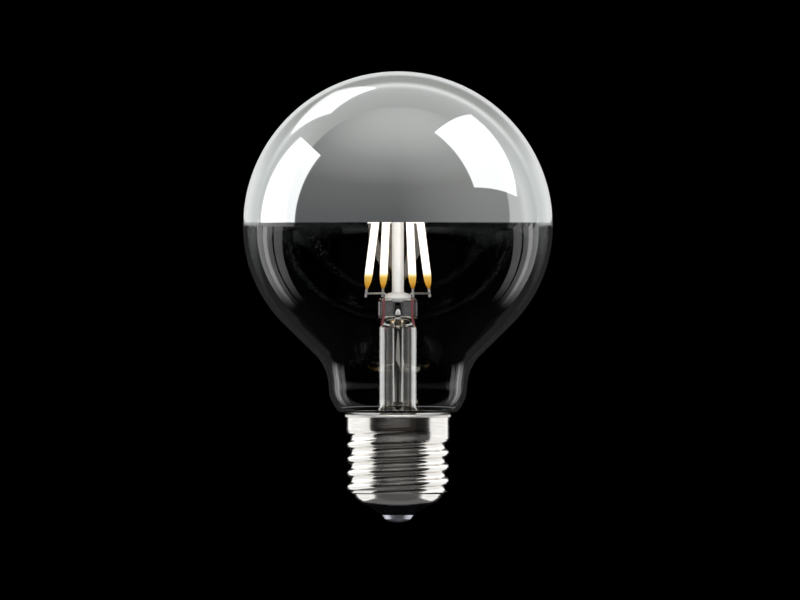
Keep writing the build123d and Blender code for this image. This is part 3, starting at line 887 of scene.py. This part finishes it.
# Pale apron paper: the floor's tone, shown by its upper face and only to rays that the mirror has sent down to it
apron_paper = new_material("pale paper apron")
surface = add_node(apron_paper, "ShaderNodeBsdfDiffuse", {"Color": linear("#dfdfdd")})
sheet = add_node(apron_paper, "ShaderNodeNewGeometry")
path = add_node(apron_paper, "ShaderNodeLightPath")
wandering = add_node(
    apron_paper, "ShaderNodeMath", {0: path.outputs["Transmission Depth"], 1: one_wall}, operation="GREATER_THAN"
)
straight = add_node(
    apron_paper, "ShaderNodeMath", {0: path.outputs["Glossy Depth"], 1: one_bounce}, operation="LESS_THAN"
)
passed = add_node(
    apron_paper, "ShaderNodeMath", {0: straight.outputs[0], 1: wandering.outputs[0]}, operation="MAXIMUM"
)
hidden = add_node(
    apron_paper, "ShaderNodeMath", {0: sheet.outputs["Backfacing"], 1: passed.outputs[0]}, operation="MAXIMUM"
)
unseen = add_node(apron_paper, "ShaderNodeBsdfTransparent")
shown = add_node(
    apron_paper, "ShaderNodeMixShader", {0: hidden.outputs[0], 1: surface.outputs[0], 2: unseen.outputs[0]}
)
add_node(apron_paper, "ShaderNodeOutputMaterial", {"Surface": shown.outputs[0]})
for name, cloth, middle, spread, outline in (
    ("visor", flag_cloth, -90, 40, ((15, 26.9), (250, 26.9), (250, -200))),
    ("collar", flag_cloth, 90, 30, ((60, 50), (60, -60))),
    ("apron", apron_paper, 0, 180, ((1100, apron_height), (40.1, apron_height))),
):
    flag_mesh = bmesh.new()
    turns = [radians(middle + turn) for turn in range(-spread, spread + 1, flag_step)]
    rows = []
    for radius, height in outline:
        points = [Vector((radius * cos(turn), radius * sin(turn), height)) * MM for turn in turns]
        rows.append([flag_mesh.verts.new(point) for point in points])
    for upper, lower in zip(rows, rows[1:]):
        for step in range(len(upper) - 1):
            flag_mesh.faces.new((upper[step], upper[step + 1], lower[step + 1], lower[step]))
    flag = in_scene(name, flag_mesh, cloth)
    flag.visible_camera = False
    flag.visible_transmission = name == "apron"
    flag.visible_diffuse = False
    flag.visible_shadow = False

# The room round the lamp, as the mirror shows it: grey in front and paler towards the ceiling, with pale side walls
# and a ceiling behind, and a hard corner where the two meet
world = bpy.data.worlds.new("studio")
world.use_nodes = True
world.node_tree.nodes.clear()
bpy.context.scene.world = world
way = add_node(world, "ShaderNodeTexCoord")
along = add_node(world, "ShaderNodeSeparateXYZ", {"Vector": way.outputs["Generated"]})
backward = add_node(
    world,
    "ShaderNodeMapRange",
    {"Value": along.outputs["Y"], "From Min": -1.0, "From Max": 1.0, "To Min": 0.0, "To Max": 1.0},
)
across = add_node(world, "ShaderNodeCombineXYZ", {"X": along.outputs["X"], "Z": along.outputs["Z"]})
hand = add_node(world, "ShaderNodeVectorMath", {0: across.outputs[0]}, operation="NORMALIZE")
clock = add_node(world, "ShaderNodeSeparateXYZ", {"Vector": hand.outputs[0]})
front = add_node(
    world,
    "ShaderNodeValToRGB",
    {"Fac": along.outputs["Z"]},
    stops=[
        (0.1, linear("#646566")),
        (0.5, linear("#757574")),
        (0.76, linear("#9a9a99")),
        (0.95, linear("#bfbfbd")),
        (1.0, linear("#c8c8c6")),
    ],
)
right_wall = add_node(
    world,
    "ShaderNodeMapRange",
    {"Value": along.outputs["X"], "From Min": 0.0, "From Max": 1.0, "To Min": 0.0, "To Max": 0.155},
)
room = add_node(
    world,
    "ShaderNodeMix",
    {"Factor": right_wall.outputs[0], "A": front.outputs["Color"], "B": linear("#fffefa")},
    data_type="RGBA",
    blend_type="ADD",
)
overhead = add_node(
    world,
    "ShaderNodeValToRGB",
    {"Fac": backward.outputs[0]},
    stops=[
        (0.62, linear("#bcbcba")),
        (0.74, linear("#c7c7c5")),
        (0.797, linear("#d2d2d0")),
        (0.843, linear("#fcfcfa")),
        (0.88, linear("#aeafab")),
        (0.945, linear("#abaca8")),
        (0.97, linear("#ffffff")),
    ],
)
sides = add_node(
    world,
    "ShaderNodeValToRGB",
    {"Fac": backward.outputs[0]},
    stops=[
        (0.54, linear("#cececc")),
        (0.64, linear("#d2d2d0")),
        (0.70, linear("#ececea")),
        (0.79, linear("#d9dbda")),
        (0.885, linear("#e0e2e1")),
        (0.96, linear("#ffffff")),
    ],
)
climb = add_node(
    world,
    "ShaderNodeMapRange",
    {"Value": clock.outputs["Z"], "From Min": 0.35, "From Max": 0.8, "To Min": 0.0, "To Max": 1.0},
)
rear = add_node(
    world,
    "ShaderNodeMix",
    {"Factor": climb.outputs[0], "A": sides.outputs["Color"], "B": overhead.outputs["Color"]},
    data_type="RGBA",
)
room_corner = add_node(
    world,
    "ShaderNodeMapRange",
    {"Value": clock.outputs["Z"], "From Min": 0.0, "From Max": 1.0, "To Min": 0.53, "To Max": 0.6},
)
past = add_node(world, "ShaderNodeMath", {0: backward.outputs[0], 1: room_corner.outputs[0]}, operation="SUBTRACT")
behind = add_node(
    world,
    "ShaderNodeMapRange",
    {"Value": past.outputs[0], "From Min": -0.006, "From Max": 0.006, "To Min": 0.0, "To Max": 1.0},
)
walls = add_node(
    world,
    "ShaderNodeMix",
    {"Factor": behind.outputs[0], "A": room.outputs["Result"], "B": rear.outputs["Result"]},
    data_type="RGBA",
)

# Below the horizon the room is dark, and for rays through the mount the horizon is higher. A black card straight
# behind the lamp is the background of the picture, and light that wanders on inside the globe is cut
backdrop_dark = 0.02
room_strength = 0.9
card_edge = (4.8, 4.2)
horizon = add_node(
    world, "ShaderNodeMath", {0: along.outputs["Y"], 1: 0.02, 2: along.outputs["Z"]}, operation="MULTIPLY_ADD"
)
path = add_node(world, "ShaderNodeLightPath")
plain = add_node(
    world, "ShaderNodeMath", {0: path.outputs["Transmission Depth"], 1: one_surface}, operation="LESS_THAN"
)
glancing = add_node(
    world, "ShaderNodeMath", {0: path.outputs["Glossy Depth"], 1: plain.outputs[0]}, operation="MULTIPLY"
)
skyline = add_node(
    world,
    "ShaderNodeMath",
    {0: glancing.outputs[0], 1: -0.008, 2: horizon.outputs[0]},
    operation="MULTIPLY_ADD",
)
through = add_node(
    world, "ShaderNodeMath", {0: path.outputs["Transmission Depth"], 1: two_walls}, operation="GREATER_THAN"
)
sunk = add_node(
    world, "ShaderNodeMath", {0: through.outputs[0], 1: -0.25, 2: skyline.outputs[0]}, operation="MULTIPLY_ADD"
)
above = add_node(
    world,
    "ShaderNodeMapRange",
    {
        "Value": sunk.outputs[0],
        "From Min": 0.022,
        "From Max": 0.028,
        "To Min": backdrop_dark,
        "To Max": room_strength,
    },
)
black_card = add_node(
    world,
    "ShaderNodeMapRange",
    {
        "Value": along.outputs["Y"],
        "From Min": cos(radians(card_edge[0])),
        "From Max": cos(radians(card_edge[1])),
        "To Min": 1.0,
        "To Max": 0.0,
    },
)
direct = add_node(world, "ShaderNodeMath", {0: path.outputs["Glossy Depth"], 1: one_bounce}, operation="LESS_THAN")
one_pass = add_node(
    world, "ShaderNodeMath", {0: path.outputs["Transmission Depth"], 1: one_wall}, operation="LESS_THAN"
)
kept = add_node(world, "ShaderNodeMath", {0: direct.outputs[0], 1: one_pass.outputs[0]}, operation="MAXIMUM")
uncarded = add_node(
    world,
    "ShaderNodeMath",
    {0: black_card.outputs[0], 1: path.outputs["Glossy Depth"]},
    operation="ADD",
    use_clamp=True,
)
open_room = add_node(world, "ShaderNodeMath", {0: above.outputs[0], 1: uncarded.outputs[0]}, operation="MULTIPLY")
level = add_node(world, "ShaderNodeMath", {0: open_room.outputs[0], 1: kept.outputs[0]}, operation="MULTIPLY")

# Panels beside the backdrop fill the walls of the mount's tubes, which reflect them inside the glass
aside = add_node(world, "ShaderNodeMath", {0: along.outputs["X"]}, operation="ABSOLUTE")
beside = add_node(
    world,
    "ShaderNodeMapRange",
    {"Value": aside.outputs[0], "From Min": 0.03, "From Max": 0.2, "To Min": 0.0, "To Max": 1.0},
)
tilt = add_node(world, "ShaderNodeMath", {0: along.outputs["Z"]}, operation="ABSOLUTE")
near_level = add_node(
    world,
    "ShaderNodeMapRange",
    {"Value": tilt.outputs[0], "From Min": 0.06, "From Max": 0.2, "To Min": 1.0, "To Max": 0.0},
)
piped = add_node(
    world,
    "ShaderNodeMapRange",
    {"Value": path.outputs["Glossy Depth"], "From Min": 0.0, "From Max": 1.0, "To Min": 0.1, "To Max": 1.0},
)
panels = add_node(world, "ShaderNodeMath", {0: beside.outputs[0], 1: near_level.outputs[0]}, operation="MULTIPLY")
seen = add_node(world, "ShaderNodeMath", {0: through.outputs[0], 1: piped.outputs[0]}, operation="MULTIPLY")
glints = add_node(world, "ShaderNodeMath", {0: panels.outputs[0], 1: seen.outputs[0]}, operation="MULTIPLY")

# Reflections off the outer faces, apart from those of the rear, are toned down so as not to grey the clear glass
rear_start = 0.62
toned_share = 0.3
ahead = add_node(world, "ShaderNodeMath", {0: along.outputs["Y"], 1: rear_start}, operation="LESS_THAN")
flagged = add_node(world, "ShaderNodeMath", {0: glancing.outputs[0], 1: ahead.outputs[0]}, operation="MULTIPLY")
toned = add_node(
    world,
    "ShaderNodeMapRange",
    {"Value": flagged.outputs[0], "From Min": 0.0, "From Max": 1.0, "To Min": 1.0, "To Max": toned_share},
)
room_level = add_node(world, "ShaderNodeMath", {0: level.outputs[0], 1: toned.outputs[0]}, operation="MULTIPLY")
strength = add_node(
    world, "ShaderNodeMath", {0: room_level.outputs[0], 1: glints.outputs[0]}, operation="MAXIMUM"
)
surroundings = add_node(
    world, "ShaderNodeBackground", {"Color": walls.outputs["Result"], "Strength": strength.outputs[0]}
)
add_node(world, "ShaderNodeOutputWorld", {"Surface": surroundings.outputs[0]})

# Camera
# A long lens stands level with the middle of the lamp, as in the photograph.
# It is no farther off, because the far clipping of other views follows from the lamp's size.
frame_width = 206.7
view_centre = (0.54, 57.51)
view_distance = 5.5
lens = bpy.data.cameras.new("camera")
lens.sensor_width = 36
lens.lens = lens.sensor_width * view_distance / (frame_width * MM)
lens.clip_end = 50
camera = bpy.data.objects.new("camera", lens)
camera.location = (view_centre[0] * MM, -view_distance, view_centre[1] * MM)
camera.rotation_euler = (pi / 2, 0, 0)
bpy.context.scene.collection.objects.link(camera)
bpy.context.scene.camera = camera
bpy.context.scene.view_settings.view_transform = "Standard"
